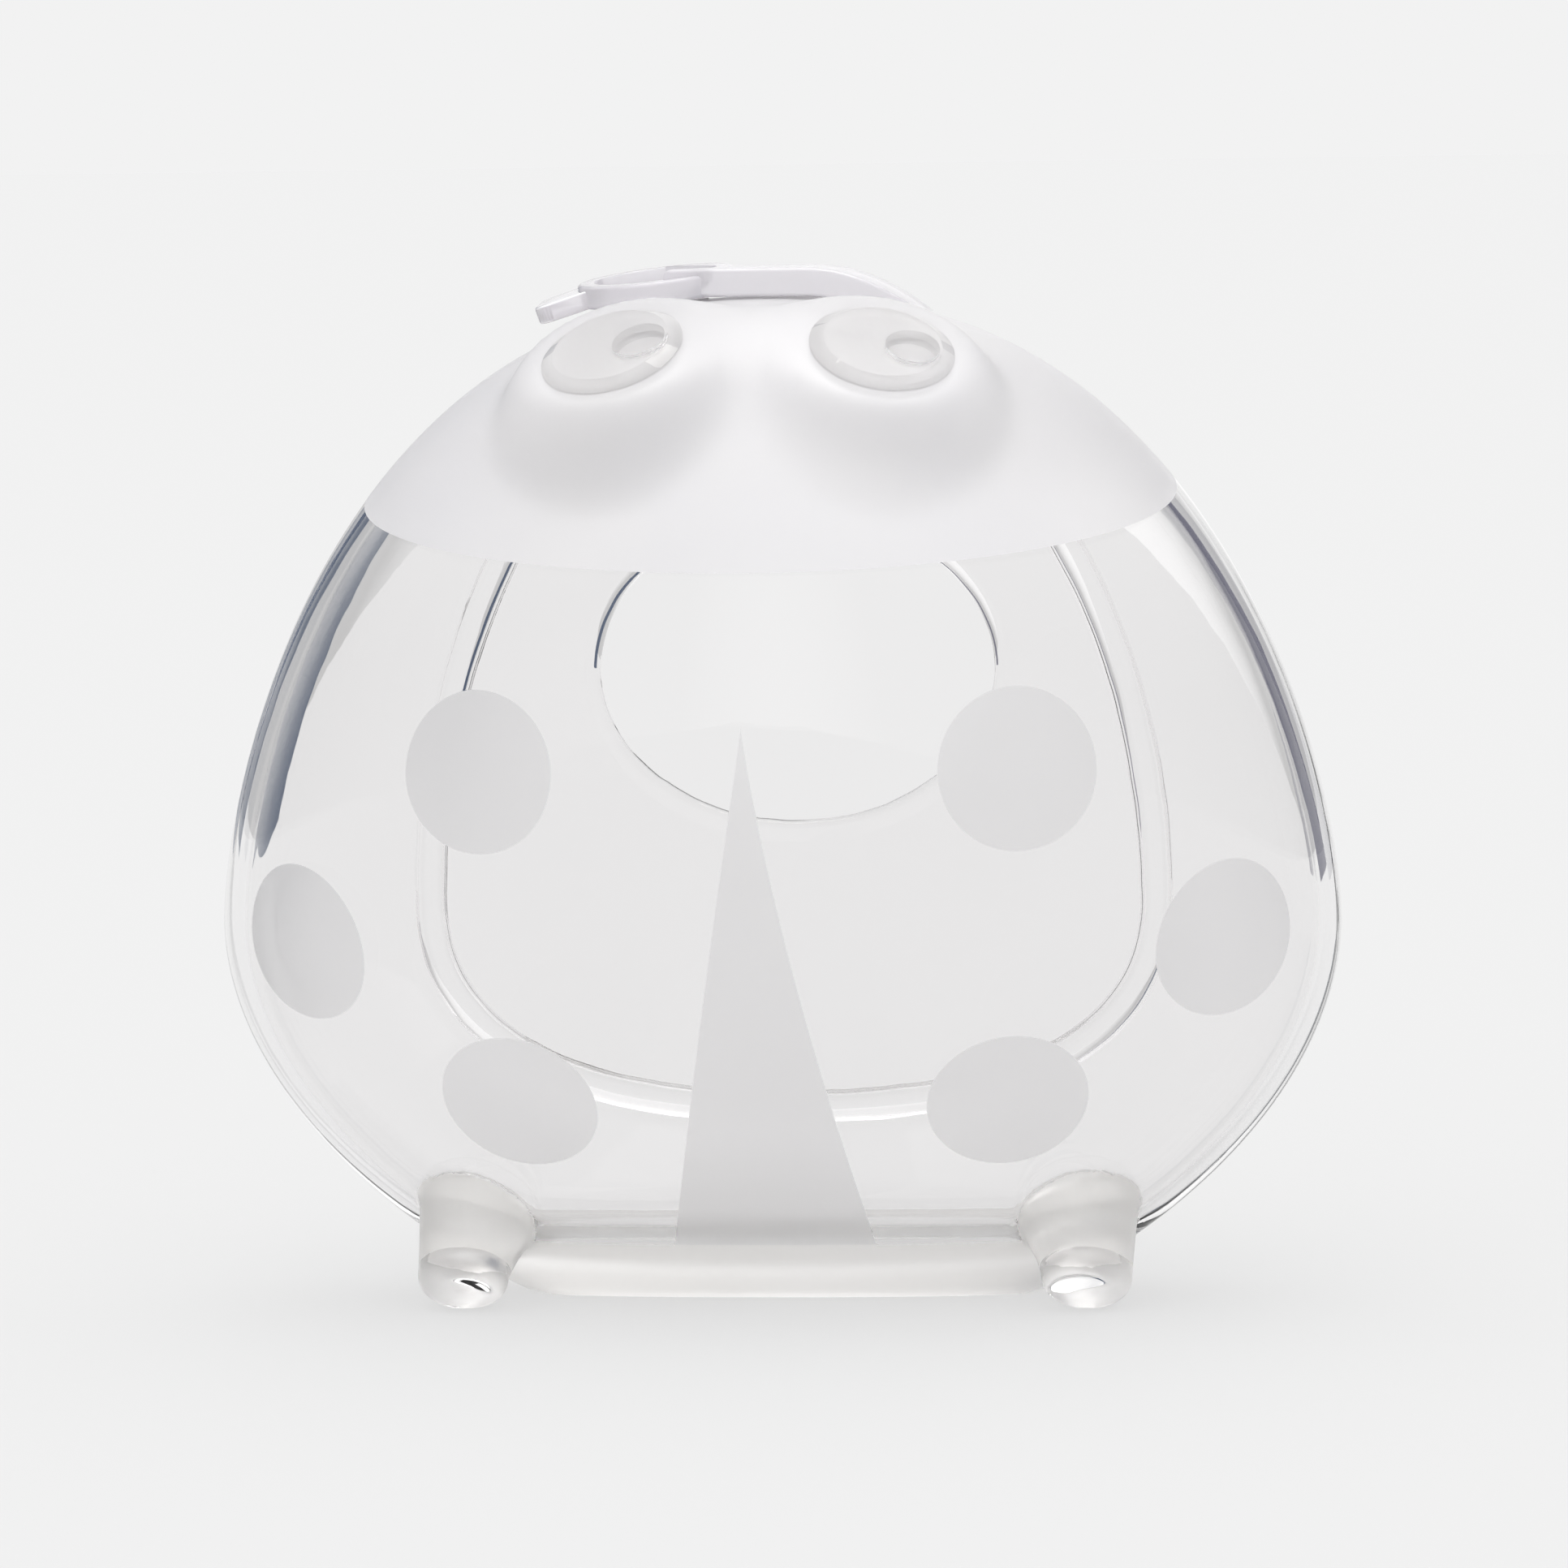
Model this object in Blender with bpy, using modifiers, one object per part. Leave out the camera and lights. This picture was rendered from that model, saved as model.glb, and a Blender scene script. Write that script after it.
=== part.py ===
# Clear silicone ladybird collector: a hollow domed body with a frosted crown, a breast
# cup with a nipple opening behind, two stub feet, two eye discs, and a strap stopper.
# Metres, +Z up, the front faces -Y, the base stands on z = 0.

import bpy
import bmesh
import math
from mathutils import Matrix, Vector

# body outline, seen from the front
body_width = 0.112
widest_height = 0.0376
head_height = 0.0999
crown_rise = 1.65
crown_round = 2.4
belly_reach = 0.045
belly_rise = 1.9
belly_round = 1.55

# body depth ahead of and behind the widest line
front_depth = 0.0345
front_height = 0.0546
brow_rise = 2.0
brow_round = 5.2
chin_reach = 0.058
chin_rise = 1.75
chin_round = 1.05
rear_depth = 0.0145
rear_height = 0.0466
nape_rise = 2.4
nape_round = 3.0
seat_reach = 0.060
seat_rise = 3.0
seat_round = 2.5
front_square = 2.0
rear_square = 3.2

# walls and clearances
wall = 0.0022
floor_thickness = 0.0065
gap = 0.0003

# frosted crown: its lower edge is a plane that drops towards the front
crown_depth = 0.0188
crown_edge_slope = 0.2

# breast cup
cup_width = 0.0735
cup_widest_height = 0.0396
cup_crown_gap = 0.0078
cup_bottom = 0.0178
cup_rise = 1.9
cup_round = 2.4
rim_radius = 0.0018
rim_sink = 0.0010
dish_recess = 0.0030
nipple_width = 0.0398
nipple_tall = 0.0308
nipple_height = 0.0621

# feet
foot_radius = 0.0045
foot_length = 0.018
foot_spread = 0.031
foot_forward = 0.0150
foot_pitch = 53.0
foot_edge = 0.0012
foot_flat = 0.00015

# eyes
eye_radius = 0.0071
eye_thickness = 0.0018
eye_rim = 0.0008
eye_spread = 0.0133
eye_forward = 0.0238
eye_stand = 0.0034
eye_lean = 0.20
eye_pitch = 59.0
boss_margin = 0.0010
boss_flare = 0.0045
boss_length = 0.0070
boss_lip = 0.0004
pupil_radius = 0.00265
pupil_thickness = 0.0012
pupil_offset = 0.0029
pupil_sink = 0.0008

# pour hole and its stopper
hole_x = -0.0110
closure_y = -0.0015
closure_tilt = 6.0
collar_radius = 0.0050
collar_bore = 0.00345
collar_length = 0.0042
collar_drop = 0.0007
cap_radius = 0.0078
cap_thickness = 0.0023
cap_lift = 0.0008
cap_dish_radius = 0.0060
cap_dish_depth = 0.0013
plug_radius = 0.0030
plug_taper = 0.0004
plug_length = 0.0032
plug_hollow_radius = 0.0016
plug_hollow_depth = 0.0022

# strap and pull tab
strap_width = 0.012
strap_thickness = 0.0021
strap_rise = 0.0030
strap_bend_x = 0.0040
strap_bend_drop = 0.0030
hinge_x = 0.0130
root_length = 0.0034
tab_width = 0.0085
tab_length = 0.0062
tab_thickness = 0.0018
tab_pitch = 18.0
tab_corner = 0.0015

# facets
around = 40
crown_rings = 11
belly_rings = 8


def clear_scene():
    for thing in list(bpy.data.objects):
        bpy.data.objects.remove(thing, do_unlink=True)


def new_collection(name):
    group = bpy.data.collections.new(name)
    bpy.context.scene.collection.children.link(group)
    return group


def new_material(name, colour, roughness, alpha=1.0):
    material = bpy.data.materials.new(name)
    material.use_nodes = True
    shader = material.node_tree.nodes["Principled BSDF"]
    shader.inputs["Base Color"].default_value = (colour[0], colour[1], colour[2], 1.0)
    shader.inputs["Roughness"].default_value = roughness
    shader.inputs["Metallic"].default_value = 0.0
    shader.inputs["Alpha"].default_value = alpha
    material.diffuse_color = (colour[0], colour[1], colour[2], alpha)
    return material


def add_object(name, bm, group, material=None, smooth_angle=40.0):
    mesh = bpy.data.meshes.new(name)
    bmesh.ops.recalc_face_normals(bm, faces=bm.faces)
    bm.to_mesh(mesh)
    bm.free()
    mesh.shade_smooth()
    mesh.set_sharp_from_angle(angle=math.radians(smooth_angle))
    thing = bpy.data.objects.new(name, mesh)
    group.objects.link(thing)
    if material:
        mesh.materials.append(material)
    return thing


def add_cutter(name, bm):
    thing = add_object(name, bm, cutters)
    thing.hide_render = True
    thing.display_type = "WIRE"
    return thing


def boolean(thing, cutter, operation):
    step = thing.modifiers.new(operation.lower() + "_" + cutter.name, "BOOLEAN")
    step.operation = operation
    step.solver = "EXACT"
    step.object = cutter


def fall(share, rise, rounding):
    """1 at share 0, easing to 0 at share 1."""
    share = min(max(share, 0.0), 1.0)
    return (1.0 - share ** rise) ** (1.0 / rounding)


def half_width(z, grow=0.0):
    if z > widest_height:
        share = (z - widest_height) / (head_height + grow - widest_height)
        return (body_width / 2 + grow) * fall(share, crown_rise, crown_round)
    share = (widest_height - z) / (belly_reach + grow)
    return (body_width / 2 + grow) * fall(share, belly_rise, belly_round)


def depth_ahead(z, grow=0.0):
    if z > front_height:
        share = (z - front_height) / (head_height + grow - front_height)
        return (front_depth + grow) * fall(share, brow_rise, brow_round)
    share = (front_height - z) / (chin_reach + grow)
    return (front_depth + grow) * fall(share, chin_rise, chin_round)


def depth_behind(z, grow=0.0):
    if z > rear_height:
        share = (z - rear_height) / (head_height + grow - rear_height)
        return (rear_depth + grow) * fall(share, nape_rise, nape_round)
    share = (rear_height - z) / (seat_reach + grow)
    return (rear_depth + grow) * fall(share, seat_rise, seat_round)


def signed_power(value, power):
    return math.copysign(abs(value) ** power, value)


def section_point(z, angle, grow=0.0):
    """A point of the level section at height z: round in front, squarer behind."""
    along = math.cos(angle)
    across = math.sin(angle)
    square = rear_square if across > 0 else front_square
    depth = depth_behind(z, grow) if across > 0 else depth_ahead(z, grow)
    x = half_width(z, grow) * signed_power(along, 2.0 / square)
    y = depth * signed_power(across, 2.0 / square)
    return Vector((x, y, z))


def rear_surface(x, z):
    """How far back the outer surface is at a place on the rear."""
    share = min(abs(x) / half_width(z), 1.0)
    return depth_behind(z) * (1.0 - share ** rear_square) ** (1.0 / rear_square)


def front_surface(x, forward):
    """Height of the outer surface over a place ahead of the widest line."""
    low, high = front_height, head_height
    for _ in range(40):
        z = (low + high) / 2
        width = half_width(z)
        inside = abs(x) < width and forward < depth_ahead(z) * math.sqrt(1.0 - (x / width) ** 2)
        if inside:
            low = z
        else:
            high = z
    return low


def body_heights(low, grow):
    """Section heights from the floor to just under the crown's top."""
    heights = []
    for i in range(belly_rings):
        share = i / belly_rings
        heights.append(low + (widest_height - low) * share)
    for i in range(crown_rings + 1):
        angle = math.radians(86.0) * i / crown_rings
        share = math.sin(angle) ** (2.0 / crown_rise)
        heights.append(widest_height + (head_height + grow - widest_height) * share)
    return heights


def body_loft(low, grow):
    """A closed solid lofted through the body's level sections."""
    bm = bmesh.new()
    rings = []
    for z in body_heights(low, grow):
        ring = []
        for i in range(around):
            ring.append(bm.verts.new(section_point(z, 2 * math.pi * i / around, grow)))
        rings.append(ring)
    for lower, upper in zip(rings, rings[1:]):
        for i in range(around):
            j = (i + 1) % around
            bm.faces.new((lower[i], lower[j], upper[j], upper[i]))
    bm.faces.new(list(reversed(rings[0])))
    top = bm.verts.new((0.0, 0.0, head_height + grow))
    last = rings[-1]
    for i in range(around):
        bm.faces.new((last[i], last[(i + 1) % around], top))
    return bm


def box_between(low, high):
    bm = bmesh.new()
    bmesh.ops.create_cube(bm, size=1.0)
    size = Vector(high) - Vector(low)
    bmesh.ops.scale(bm, vec=size, verts=bm.verts)
    bmesh.ops.translate(bm, vec=(Vector(high) + Vector(low)) / 2, verts=bm.verts)
    return bm


def cone_along(low_radius, high_radius, length, segments=32):
    """A frustum along +Z from the origin."""
    bm = bmesh.new()
    bmesh.ops.create_cone(
        bm, cap_ends=True, segments=segments, radius1=low_radius, radius2=high_radius, depth=length
    )
    bmesh.ops.translate(bm, vec=(0, 0, length / 2), verts=bm.verts)
    return bm


def bevel_ring(bm, z, width, segments=3):
    """Rounds the edge loop at height z."""
    edges = []
    for edge in bm.edges:
        if all(abs(v.co.z - z) < 1e-6 for v in edge.verts):
            edges.append(edge)
    bmesh.ops.bevel(bm, geom=edges, offset=width, segments=segments, profile=0.5, affect="EDGES")


def slab(outline, low_y, high_y):
    """A flat outline in X and Z, thickened from low_y to high_y."""
    bm = bmesh.new()
    verts = [bm.verts.new((x, low_y, z)) for x, z in outline]
    face = bm.faces.new(verts)
    made = bmesh.ops.extrude_face_region(bm, geom=[face])
    moved = [item for item in made["geom"] if isinstance(item, bmesh.types.BMVert)]
    bmesh.ops.translate(bm, vec=(0, high_y - low_y, 0), verts=moved)
    return bm


def cup_point(angle, grow=0.0):
    """The breast cup's outline in X and Z."""
    along = math.cos(angle)
    up = math.sin(angle)
    if up > 0:
        x = signed_power(along, 2.0 / cup_round)
        cup_top = head_height - cup_crown_gap
        z = (cup_top + grow - cup_widest_height) * up ** (2.0 / cup_rise)
    else:
        x = signed_power(along, 2.0 / cup_round)
        z = -(cup_widest_height - cup_bottom + grow) * abs(up) ** (2.0 / cup_round)
    return Vector(((cup_width / 2 + grow) * x, 0.0, cup_widest_height + z))


def rim_point(angle, grow=0.0):
    """A point on the seal rim's centre line, carried on the rear surface."""
    centre = cup_point(angle)
    point = cup_point(angle, grow)
    point.y = rear_surface(centre.x, centre.z) - rim_sink
    return point


def cup_outline(grow, count=48):
    points = []
    for i in range(count):
        point = cup_point(2 * math.pi * i / count, grow)
        points.append((point.x, point.z))
    return points


def dish_surface():
    """The dish's middle surface, from the seal rim in to the nipple opening."""
    bm = bmesh.new()
    rings = []
    steps = 4
    open_y = rear_depth - dish_recess
    outer_grow = -(rim_radius + gap)
    for k in range(steps + 1):
        share = k / steps
        ease = 1.0 - (1.0 - share) ** 2
        ring = []
        for i in range(around):
            angle = 2 * math.pi * i / around
            edge = rim_point(angle, outer_grow)
            x = nipple_width / 2 * math.cos(angle)
            z = nipple_height + nipple_tall / 2 * math.sin(angle)
            hole = Vector((x, open_y, z))
            point = edge.lerp(hole, share)
            point.y = edge.y + (hole.y - edge.y) * ease
            ring.append(bm.verts.new(point))
        rings.append(ring)
    for outer, inner in zip(rings, rings[1:]):
        for i in range(around):
            j = (i + 1) % around
            bm.faces.new((outer[i], outer[j], inner[j], inner[i]))
    return bm


def turned_to(direction):
    return direction.normalized().to_track_quat("Z", "Y")


def closure_frame():
    """The pour hole's frame: origin on the crown's surface, Z along the tilted hole."""
    turn = Matrix.Rotation(math.radians(-closure_tilt), 4, "Y")
    place = Matrix.Translation((hole_x, closure_y, crown_surface(hole_x)))
    return place @ turn


def crown_surface(x):
    """Height of the crown's outline at a sideways place."""
    share = (1.0 - (abs(x) / (body_width / 2)) ** crown_round) ** (1.0 / crown_rise)
    return widest_height + (head_height - widest_height) * share


def strap_height(x):
    """The strap's top face, level over the stopper and curving down to its root."""
    run = max(x - strap_bend_x, 0.0) / (hinge_x - strap_bend_x)
    return head_height + strap_rise - strap_bend_drop * run ** 2


def strap_outline(low_x, high_x, steps):
    top = []
    bottom = []
    for i in range(steps + 1):
        x = low_x + (high_x - low_x) * i / steps
        z = strap_height(x)
        top.append((x, z))
        bottom.append((x, z - strap_thickness))
    return top + list(reversed(bottom))


def empty_at(name, place, group):
    mark = bpy.data.objects.new(name, None)
    mark.empty_display_size = 0.006
    mark.location = place
    group.objects.link(mark)
    return mark


def hang_on(thing, mark):
    """Parents a world-placed object to an empty without moving it."""
    thing.parent = mark
    thing.matrix_parent_inverse = Matrix.Translation(mark.location).inverted()


def make_cutters():
    tools = {}
    reach = body_width
    tools["cavity"] = add_cutter("cavity_tool", body_loft(floor_thickness, -wall))
    tools["outside"] = add_cutter("outside_tool", body_loft(-gap, gap))
    tools["front_half"] = add_cutter(
        "front_half_tool",
        box_between((-reach, -reach, floor_thickness + gap), (reach, -gap / 2, 2 * reach)),
    )
    tools["rear_half"] = add_cutter(
        "rear_half_tool",
        box_between((-reach, gap / 2, floor_thickness + gap), (reach, reach, 2 * reach)),
    )
    for name, lift in (("crown_keep", gap / 2), ("crown_cut", -gap / 2)):
        bm = box_between((-reach, -reach, 0.0), (reach, reach, reach))
        thing = add_cutter(name + "_tool", bm)
        thing.location = (0.0, 0.0, head_height - crown_depth + lift)
        thing.rotation_euler = (math.atan(crown_edge_slope), 0.0, 0.0)
        tools[name] = thing
    opening = slab(cup_outline(rim_radius + gap), wall, 2 * rear_depth)
    tools["cup_opening"] = add_cutter("cup_opening_tool", opening)
    tools["collar_seat"] = add_cutter(
        "collar_seat_tool", cone_along(collar_radius + gap, collar_radius + gap, 4 * collar_length)
    )
    tools["collar_seat"].matrix_world = closure_frame() @ Matrix.Translation((0, 0, -2 * collar_length))
    return tools


def make_shells(tools):
    front = add_object("front_shell", body_loft(0.0, 0.0), parts, clear)
    boolean(front, tools["front_half"], "INTERSECT")
    boolean(front, tools["cavity"], "DIFFERENCE")
    boolean(front, tools["crown_cut"], "DIFFERENCE")

    back = add_object("back_shell", body_loft(0.0, 0.0), parts, clear_back)
    boolean(back, tools["rear_half"], "INTERSECT")
    boolean(back, tools["cavity"], "DIFFERENCE")
    boolean(back, tools["crown_cut"], "DIFFERENCE")
    boolean(back, tools["cup_opening"], "DIFFERENCE")

    head = add_object("head_cap", body_loft(0.0, 0.0), parts, frosted)
    for side in (-1, 1):
        boolean(head, eye_boss(side), "UNION")
    for side in (-1, 1):
        boolean(head, eye_seat(side), "DIFFERENCE")
    boolean(head, tools["cavity"], "DIFFERENCE")
    boolean(head, tools["crown_keep"], "INTERSECT")
    boolean(head, tools["cup_opening"], "DIFFERENCE")
    boolean(head, tools["collar_seat"], "DIFFERENCE")


def make_base():
    reach = body_width
    base = add_object("base_pad", body_loft(0.0, 0.0), parts, milky)
    low = add_cutter("base_zone_tool", box_between((-reach, -reach, -reach), (reach, reach, floor_thickness)))
    boolean(base, low, "INTERSECT")


def make_cup():
    curve = bpy.data.curves.new("seal_rim", "CURVE")
    curve.dimensions = "3D"
    curve.bevel_depth = rim_radius
    curve.bevel_resolution = 2
    spline = curve.splines.new("POLY")
    count = 56
    spline.points.add(count - 1)
    for i in range(count):
        point = rim_point(2 * math.pi * i / count)
        spline.points[i].co = (point.x, point.y, point.z, 1.0)
    spline.use_cyclic_u = True
    rim = bpy.data.objects.new("seal_rim", curve)
    parts.objects.link(rim)
    curve.materials.append(clear_rim)

    dish = add_object("breast_dish", dish_surface(), parts, clear_dish)
    skin = dish.modifiers.new("thickness", "SOLIDIFY")
    skin.thickness = wall
    skin.offset = 0.0


def foot_direction():
    pitch = math.radians(foot_pitch)
    return Vector((0.0, -math.cos(pitch), -math.sin(pitch)))


def foot_tip_height():
    """Tip height at which the rounded edge, less its worn flat, meets the floor."""
    lean = math.cos(math.radians(foot_pitch))
    rise = math.sin(math.radians(foot_pitch))
    return foot_radius * lean - foot_edge * (lean + rise - 1.0) - foot_flat


def make_feet(tools):
    for name, side in (("foot_left", -1), ("foot_right", 1)):
        bm = cone_along(foot_radius, foot_radius, foot_length, 24)
        bevel_ring(bm, foot_length, foot_edge)
        foot = add_object(name, bm, parts, clear_foot)
        tip = Vector((side * foot_spread, -foot_forward, foot_tip_height()))
        foot.location = tip - foot_direction() * foot_length
        foot.rotation_mode = "QUATERNION"
        foot.rotation_quaternion = turned_to(foot_direction())
        boolean(foot, tools["outside"], "DIFFERENCE")
        boolean(foot, floor_tool(), "DIFFERENCE")


def floor_tool():
    """Everything under the standing plane."""
    name = "floor_tool"
    if name in bpy.data.objects:
        return bpy.data.objects[name]
    reach = body_width
    return add_cutter(name, box_between((-reach, -reach, -reach), (reach, reach, 0.0)))


def eye_normal(side):
    pitch = math.radians(eye_pitch)
    return Vector((side * eye_lean, -math.cos(pitch), math.sin(pitch))).normalized()


def eye_frame(side):
    """The eye disc's frame: origin under the disc, Z out of its face, X sideways."""
    normal = eye_normal(side)
    sideways = (Vector((1, 0, 0)) - normal * normal.x).normalized()
    upward = normal.cross(sideways)
    turn = Matrix((sideways, upward, normal)).transposed().to_4x4()
    centre = Vector((side * eye_spread, -eye_forward, front_surface(eye_spread, eye_forward) + eye_stand))
    return Matrix.Translation(centre - normal * eye_thickness) @ turn


def eye_boss(side):
    top = eye_radius + boss_margin
    bm = cone_along(top + boss_flare, top, boss_length)
    boss = add_cutter("eye_boss_" + ("left" if side < 0 else "right") + "_tool", bm)
    boss.matrix_world = eye_frame(side) @ Matrix.Translation((0, 0, boss_lip - boss_length))
    return boss


def eye_seat(side):
    """A shallow seat in the boss, and clear space over it, for the disc."""
    seat = add_cutter(
        "eye_seat_" + ("left" if side < 0 else "right") + "_tool",
        cone_along(eye_radius + gap, eye_radius + gap, 4 * eye_thickness),
    )
    seat.matrix_world = eye_frame(side) @ Matrix.Translation((0, 0, -gap))
    return seat


def make_eyes():
    for word, side in (("left", -1), ("right", 1)):
        bm = cone_along(eye_radius, eye_radius, eye_thickness)
        bevel_ring(bm, eye_thickness, eye_rim)
        eye = add_object("eye_" + word, bm, parts, glossy)
        eye.matrix_world = eye_frame(side)
        pocket_floor = eye_thickness - pupil_sink
        pocket = add_cutter(
            "pupil_pocket_" + word + "_tool",
            cone_along(pupil_radius + gap, pupil_radius + gap, eye_thickness, 24),
        )
        pocket.matrix_world = eye_frame(side) @ Matrix.Translation((pupil_offset, 0, pocket_floor))
        boolean(eye, pocket, "DIFFERENCE")
        bm = cone_along(pupil_radius, pupil_radius, pupil_thickness, 24)
        pupil = add_object("pupil_" + word, bm, parts, glossy_pupil)
        pupil.matrix_world = eye_frame(side) @ Matrix.Translation((pupil_offset, 0, pocket_floor + gap))


def make_collar():
    frame = closure_frame()
    collar = add_object("spout_collar", cone_along(collar_radius, collar_radius, collar_length), parts, clear_collar)
    low = -collar_length + cap_lift - collar_drop
    collar.matrix_world = frame @ Matrix.Translation((0, 0, low))
    bore = add_cutter("collar_bore_tool", cone_along(collar_bore, collar_bore, 3 * collar_length))
    bore.matrix_world = frame @ Matrix.Translation((0, 0, -2 * collar_length))
    boolean(collar, bore, "DIFFERENCE")


def make_closure(tools):
    """The strap's fixed root, and the strap, cap, plug and pull tab that hinge on it."""
    low_y = closure_y - strap_width / 2
    high_y = closure_y + strap_width / 2
    root = add_object(
        "strap_root",
        slab(strap_outline(hinge_x + gap / 2, hinge_x + root_length, 3), low_y, high_y),
        parts,
        clear_strap_root,
    )
    boolean(root, tools["outside"], "DIFFERENCE")

    hinge = empty_at("closure_hinge", (hinge_x, closure_y, strap_height(hinge_x)), parts)
    frame = closure_frame()
    cap_low = frame @ Matrix.Translation((0, 0, cap_lift))

    strap = add_object(
        "closure_strap",
        slab(strap_outline(hole_x, hinge_x - gap / 2, 10), low_y, high_y),
        parts,
        clear_strap,
    )
    boolean(strap, tools["outside"], "DIFFERENCE")
    around_cap = add_cutter(
        "cap_clearance_tool", cone_along(cap_radius + gap, cap_radius + gap, 6 * cap_thickness)
    )
    around_cap.matrix_world = frame @ Matrix.Translation((0, 0, -2 * cap_thickness))
    boolean(strap, around_cap, "DIFFERENCE")

    bm = cone_along(cap_radius, cap_radius, cap_thickness)
    cap = add_object("stopper_ring", bm, parts, clear_cap)
    cap.matrix_world = cap_low
    dish = add_cutter("cap_dish_tool", cone_along(cap_dish_radius, cap_dish_radius, cap_thickness))
    dish.matrix_world = cap_low @ Matrix.Translation((0, 0, cap_thickness - cap_dish_depth))
    boolean(cap, dish, "DIFFERENCE")

    plug = add_object(
        "stopper_plug", cone_along(plug_radius - plug_taper, plug_radius, plug_length), parts, clear_plug
    )
    plug.matrix_world = cap_low @ Matrix.Translation((0, 0, -plug_length - gap))
    hollow = add_cutter(
        "plug_hollow_tool", cone_along(plug_hollow_radius, plug_hollow_radius, 2 * plug_hollow_depth, 20)
    )
    hollow.matrix_world = plug.matrix_world @ Matrix.Translation((0, 0, -plug_hollow_depth))
    boolean(plug, hollow, "DIFFERENCE")

    bm = box_between((-tab_length, -tab_width / 2, -tab_thickness), (0, tab_width / 2, 0))
    corners = [e for e in bm.edges if abs(e.verts[0].co.z - e.verts[1].co.z) > tab_thickness / 2]
    corners = [e for e in corners if e.verts[0].co.x < -tab_length / 2]
    bmesh.ops.bevel(bm, geom=corners, offset=tab_corner, segments=4, profile=0.5, affect="EDGES")
    tab = add_object("pull_tab", bm, parts, clear_tab)
    lean = Matrix.Rotation(math.radians(-(tab_pitch - closure_tilt)), 4, "Y")
    shoulder = Matrix.Translation((-cap_radius + tab_thickness, 0, cap_thickness - gap))
    tab.matrix_world = cap_low @ shoulder @ lean
    boolean(tab, around_cap, "DIFFERENCE")

    for thing in (strap, cap, plug, tab):
        hang_on(thing, hinge)


clear_scene()
parts = new_collection("ladybird_collector")
cutters = new_collection("cutters")

clear = new_material("front_clear_silicone", (0.93, 0.93, 0.94), 0.12, 0.35)
clear_back = new_material("back_clear_silicone", (0.91, 0.91, 0.93), 0.15, 0.35)
clear_rim = new_material("rim_clear_silicone", (0.86, 0.86, 0.89), 0.15, 0.5)
clear_dish = new_material("dish_clear_silicone", (0.93, 0.92, 0.94), 0.15, 0.35)
clear_foot = new_material("foot_clear_silicone", (0.90, 0.90, 0.91), 0.06, 0.45)
clear_collar = new_material("collar_clear_silicone", (0.90, 0.90, 0.93), 0.12, 0.4)
clear_strap_root = new_material("root_clear_silicone", (0.88, 0.88, 0.93), 0.12, 0.5)
clear_strap = new_material("strap_clear_silicone", (0.90, 0.90, 0.94), 0.10, 0.45)
clear_cap = new_material("cap_clear_silicone", (0.89, 0.89, 0.93), 0.10, 0.45)
clear_plug = new_material("plug_clear_silicone", (0.90, 0.90, 0.93), 0.10, 0.45)
clear_tab = new_material("tab_clear_silicone", (0.89, 0.88, 0.92), 0.10, 0.45)
frosted = new_material("head_frosted_silicone", (0.88, 0.88, 0.90), 0.55, 0.9)
milky = new_material("base_milky_silicone", (0.90, 0.90, 0.89), 0.35, 0.8)
glossy = new_material("eye_glossy_silicone", (0.94, 0.94, 0.95), 0.04, 0.4)
glossy_pupil = new_material("pupil_glossy_silicone", (0.85, 0.85, 0.87), 0.04, 0.5)

tool_set = make_cutters()
make_shells(tool_set)
make_base()
make_cup()
make_feet(tool_set)
make_eyes()
make_collar()
make_closure(tool_set)
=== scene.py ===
import math
import bpy
import bmesh
import numpy as np
from mathutils import Matrix, Vector
from mathutils.kdtree import KDTree


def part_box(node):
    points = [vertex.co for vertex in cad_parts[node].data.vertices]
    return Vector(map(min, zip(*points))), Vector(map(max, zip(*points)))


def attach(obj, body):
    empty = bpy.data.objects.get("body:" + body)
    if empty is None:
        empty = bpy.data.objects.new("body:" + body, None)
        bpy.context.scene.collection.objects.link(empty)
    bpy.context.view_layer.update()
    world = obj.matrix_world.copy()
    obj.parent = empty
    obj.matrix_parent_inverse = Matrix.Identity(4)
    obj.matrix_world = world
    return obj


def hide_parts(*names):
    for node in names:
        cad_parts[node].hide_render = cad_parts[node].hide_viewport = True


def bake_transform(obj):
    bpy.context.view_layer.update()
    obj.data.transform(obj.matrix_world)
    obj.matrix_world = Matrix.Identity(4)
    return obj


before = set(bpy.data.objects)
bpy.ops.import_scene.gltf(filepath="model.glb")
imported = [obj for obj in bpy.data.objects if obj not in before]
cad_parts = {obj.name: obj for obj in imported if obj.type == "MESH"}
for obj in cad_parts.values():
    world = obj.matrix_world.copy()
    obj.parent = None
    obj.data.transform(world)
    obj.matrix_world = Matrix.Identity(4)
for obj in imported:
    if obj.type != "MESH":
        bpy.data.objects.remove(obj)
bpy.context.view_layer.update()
print("frame loaded:", len(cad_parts), "nodes")

# the hollow body, in metres; widths and heights come from the frame where it has them
body = dict(
    halfWidth=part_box("front_shell")[1].x,
    widestHeight=0.0376,
    top=0.0999,
    crownRise=1.65,
    crownRound=2.4,
    bellyReach=0.045,
    bellyRise=1.9,
    bellyRound=1.55,
    frontDepth=0.0345,
    frontHeight=0.0546,
    browRise=2.0,
    browRound=5.2,
    chinReach=0.058,
    chinRise=1.75,
    chinRound=1.05,
    rearDepth=0.0145,
    rearHeight=0.0466,
    napeRise=2.4,
    napeRound=3.0,
    seatReach=0.060,
    seatRise=3.0,
    seatRound=2.5,
    rearSquare=3.2,
    wall=0.0022,
    floorThickness=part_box("base_pad")[1].z,
    hazeDrop=0.0002,
    baseEdge=0.0012,
    floorEdge=0.0040,
    columns=256,
    frontRings=96,
    sideRings=6,
    rearRings=26,
    rearEase=2.4,
    insideRings=4,
)

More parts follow.
